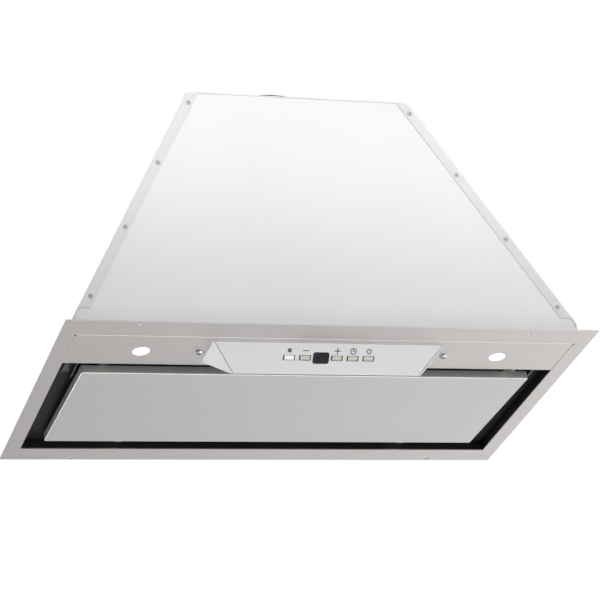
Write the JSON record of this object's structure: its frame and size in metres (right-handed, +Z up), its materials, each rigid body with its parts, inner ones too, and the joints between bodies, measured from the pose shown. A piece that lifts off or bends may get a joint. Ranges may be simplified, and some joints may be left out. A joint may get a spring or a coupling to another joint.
{
  "type": "built-in cooker hood",
  "caption": "Built-in cooker hood: flat steel trim frame with lamp strip, wedge control unit, hinged perimeter panel, tapered body, inner blower and round duct collar.",
  "frame": {"origin": "centre of the four flange screws, on the trim frame's upper face", "axes": "+X right and -Y towards the cook, seen from the front; +Z up, into the cabinet"},
  "size_m": [0.524, 0.2953, 0.3275],
  "materials": {
    "trim_steel": "fine horizontal brushing",
    "panel_steel": "fine horizontal brushing",
    "control_silver": "satin silver",
    "body_paint": "pale satin grey",
    "lens": "lit, frosted",
    "lamp_metal": "satin",
    "screw_chrome": "polished",
    "zinc": "zinc plated",
    "yellow_zinc": "yellow passivated zinc",
    "window_black": "gloss",
    "key_pale": "translucent",
    "key_lit": "translucent, lit",
    "black_plastic": "moulded",
    "black_sheet": "matt black",
    "board_green": "circuit board",
    "filter_aluminium": "satin",
    "wheel_plastic": "moulded",
    "capacitor_white": "moulded",
    "collar_black": "moulded"
  },
  "bodies": {
    "hood": {"body_rivets": "zinc", "bracket_screws": "zinc", "cable_gland": "black_plastic", "collar_screws": "zinc", "control_board": "board_green", "control_end_cap_left": "control_silver", "control_end_cap_right": "control_silver", "control_housing": "control_silver", "display_module": "black_plastic", "display_window": "window_black", "electrical_tray": "zinc", "filter_frame": "filter_aluminium", "filter_mesh": "filter_aluminium", "filter_screen": "filter_aluminium", "flap_pin": "zinc", "front_sheet": "body_paint", "gland_nut": "black_plastic", "hinge_brackets": "zinc", "hinge_pins": "zinc", "intake_surround": "black_sheet", "lamp_body_left": "lamp_metal", "lamp_body_right": "lamp_metal", "lamp_driver": "black_plastic", "lamp_lens_left": "lens", "lamp_lens_right": "lens", "lamp_strip": "trim_steel", "motor_bracket": "zinc", "motor_can": "zinc", "motor_capacitor": "capacitor_white", "outlet_adapter": "wheel_plastic", "outlet_collar": "collar_black", "panel_catches": "yellow_zinc", "panel_guides": "zinc", "rear_sheet": "body_paint", "scroll_left": "wheel_plastic", "scroll_right": "wheel_plastic", "side_panel_left": "body_paint", "side_panel_right": "body_paint", "strip_brackets": "zinc", "strip_nuts": "zinc", "strip_screws": "screw_chrome", "tact_switches": "black_plastic", "terminal_box": "black_plastic", "top_plate": "body_paint", "trim_frame": "trim_steel"},
    "perimeter_panel": {"perimeter_panel": "panel_steel", "panel_lugs": "zinc", "panel_tongues": "zinc"},
    "rotor": {"fan_wheel": "wheel_plastic", "motor_shaft": "zinc", "fan_nut": "zinc"},
    "flap_front": {"flap_front": "collar_black"},
    "flap_rear": {"flap_rear": "collar_black"},
    "filter_latch": {"filter_latch": "black_plastic"},
    "button_fan": {"button_fan": "key_lit"},
    "button_minus": {"button_minus": "key_pale"},
    "button_plus": {"button_plus": "key_pale"},
    "button_timer": {"button_timer": "key_pale"},
    "button_light": {"button_light": "key_pale"}
  },
  "joints": [
    {"name": "panel_hinge", "type": "hinge", "parent": "hood", "child": "perimeter_panel", "pos_m": [0, 0.11009, 0.00515], "axis": [1, 0, 0], "range_deg": [0, 88]},
    {"name": "fan_spin", "type": "hinge", "parent": "hood", "child": "rotor", "pos_m": [0, -0.0415, 0.15], "axis": [1, 0, 0], "continuous": true},
    {"name": "flap_front_hinge", "type": "hinge", "parent": "hood", "child": "flap_front", "pos_m": [0, 0.008, 0.2765], "axis": [-1, 0, 0], "range_deg": [0, 70]},
    {"name": "flap_rear_hinge", "type": "hinge", "parent": "hood", "child": "flap_rear", "pos_m": [0, 0.008, 0.2765], "axis": [1, 0, 0], "range_deg": [0, 70]},
    {"name": "latch_slide", "type": "slide", "parent": "hood", "child": "filter_latch", "axis": [0, 1, 0], "range_m": [0, 0.005], "stiffness_N_per_m": 500, "springref_m": -0.004},
    {"name": "press_fan", "type": "slide", "parent": "hood", "child": "button_fan", "axis": [0, 0.7119, 0.7022], "range_m": [0, 0.0009], "stiffness_N_per_m": 1500, "springref_m": -0.0004},
    {"name": "press_minus", "type": "slide", "parent": "hood", "child": "button_minus", "axis": [0, 0.7119, 0.7022], "range_m": [0, 0.0009], "stiffness_N_per_m": 1500, "springref_m": -0.0004},
    {"name": "press_plus", "type": "slide", "parent": "hood", "child": "button_plus", "axis": [0, 0.7119, 0.7022], "range_m": [0, 0.0009], "stiffness_N_per_m": 1500, "springref_m": -0.0004},
    {"name": "press_timer", "type": "slide", "parent": "hood", "child": "button_timer", "axis": [0, 0.7119, 0.7022], "range_m": [0, 0.0009], "stiffness_N_per_m": 1500, "springref_m": -0.0004},
    {"name": "press_light", "type": "slide", "parent": "hood", "child": "button_light", "axis": [0, 0.7119, 0.7022], "range_m": [0, 0.0009], "stiffness_N_per_m": 1500, "springref_m": -0.0004}
  ]
}
